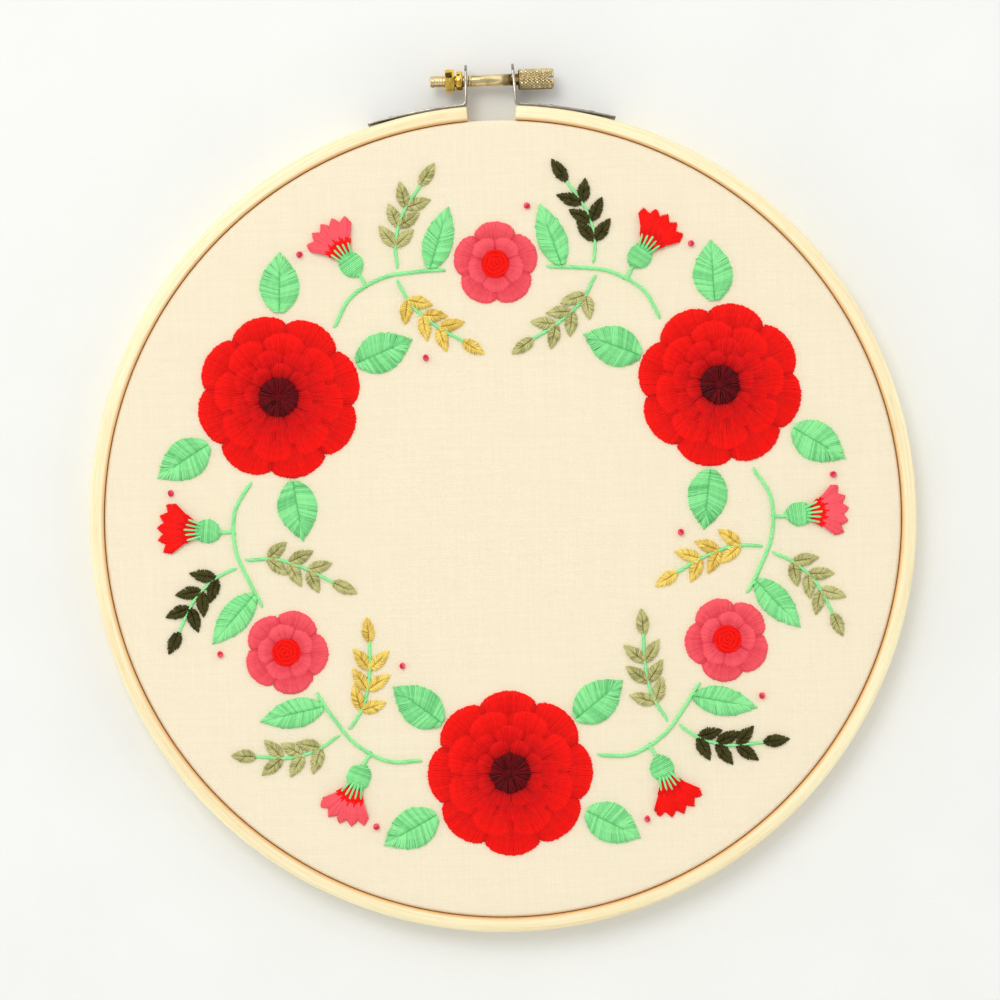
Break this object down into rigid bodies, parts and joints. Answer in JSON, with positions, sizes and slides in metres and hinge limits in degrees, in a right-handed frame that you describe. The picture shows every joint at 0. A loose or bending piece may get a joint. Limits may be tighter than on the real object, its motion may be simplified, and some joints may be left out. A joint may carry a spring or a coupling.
{
  "type": "hoop embroidery art with embroidery hoop",
  "caption": "Round cotton ground stretched in a split bamboo embroidery hoop with a screw clamp, stitched with a raised floral wreath.",
  "frame": {"origin": "middle of the whole object's box, at the level that the rings' backs rest on; the rings' centre is 5.4 mm from it towards -Y", "axes": "+Z out of the stitched face, +Y from the rings' centre towards the clamp, +X to the right with the clamp up, where the screw's barrel is"},
  "size_m": [0.2112, 0.222, 0.0103],
  "materials": {
    "bamboo": "satin",
    "cotton": "plain woven",
    "steel": "dull plated",
    "brass": "polished",
    "red_floss": "satin-stitched floss",
    "crimson_floss": "satin-stitched floss",
    "maroon_floss": "satin-stitched floss",
    "coral_floss": "satin-stitched floss",
    "mint_floss": "satin-stitched floss",
    "sage_floss": "satin-stitched floss",
    "olive_floss": "satin-stitched floss",
    "mustard_floss": "satin-stitched floss"
  },
  "bodies": {
    "hoop": {"outer_ring": "bamboo", "inner_ring": "bamboo", "cloth": "cotton", "bracket_left": "steel", "bracket_right": "steel", "nut": "brass", "collar": "brass", "bloom_1_outer": "red_floss", "bloom_1_inner": "crimson_floss", "bloom_1_eye": "maroon_floss", "blossom_1_petals": "coral_floss", "blossom_1_eye": "red_floss", "bloom_2_outer": "red_floss", "bloom_2_inner": "crimson_floss", "bloom_2_eye": "maroon_floss", "blossom_2_petals": "coral_floss", "blossom_2_eye": "red_floss", "bloom_3_outer": "red_floss", "bloom_3_inner": "crimson_floss", "bloom_3_eye": "maroon_floss", "blossom_3_petals": "coral_floss", "blossom_3_eye": "red_floss", "leaf_1_outer": "mint_floss", "leaf_1_inner": "mint_floss", "vine_1": "mint_floss", "bud_1": "red_floss", "inner_sprig_1": "sage_floss", "outer_sprig_1": "olive_floss", "leaf_2_outer": "mint_floss", "leaf_2_inner": "mint_floss", "vine_2": "mint_floss", "bud_2": "coral_floss", "inner_sprig_2": "mustard_floss", "outer_sprig_2": "sage_floss", "leaf_3_outer": "mint_floss", "leaf_3_inner": "mint_floss", "vine_3": "mint_floss", "bud_3": "red_floss", "inner_sprig_3": "sage_floss", "outer_sprig_3": "olive_floss", "leaf_4_outer": "mint_floss", "leaf_4_inner": "mint_floss", "vine_4": "mint_floss", "bud_4": "coral_floss", "inner_sprig_4": "mustard_floss", "outer_sprig_4": "sage_floss", "leaf_5_outer": "mint_floss", "leaf_5_inner": "mint_floss", "vine_5": "mint_floss", "bud_5": "red_floss", "inner_sprig_5": "sage_floss", "outer_sprig_5": "olive_floss", "leaf_6_outer": "mint_floss", "leaf_6_inner": "mint_floss", "vine_6": "mint_floss", "bud_6": "coral_floss", "inner_sprig_6": "mustard_floss", "outer_sprig_6": "sage_floss"},
    "thumbscrew": {"thumbscrew": "brass"}
  },
  "joints": [
    {"name": "thumbscrew_turn", "type": "hinge", "parent": "hoop", "child": "thumbscrew", "pos_m": [0, 0.1069, 0.00475], "axis": [1, 0, 0], "range_deg": [-90, 360]}
  ]
}
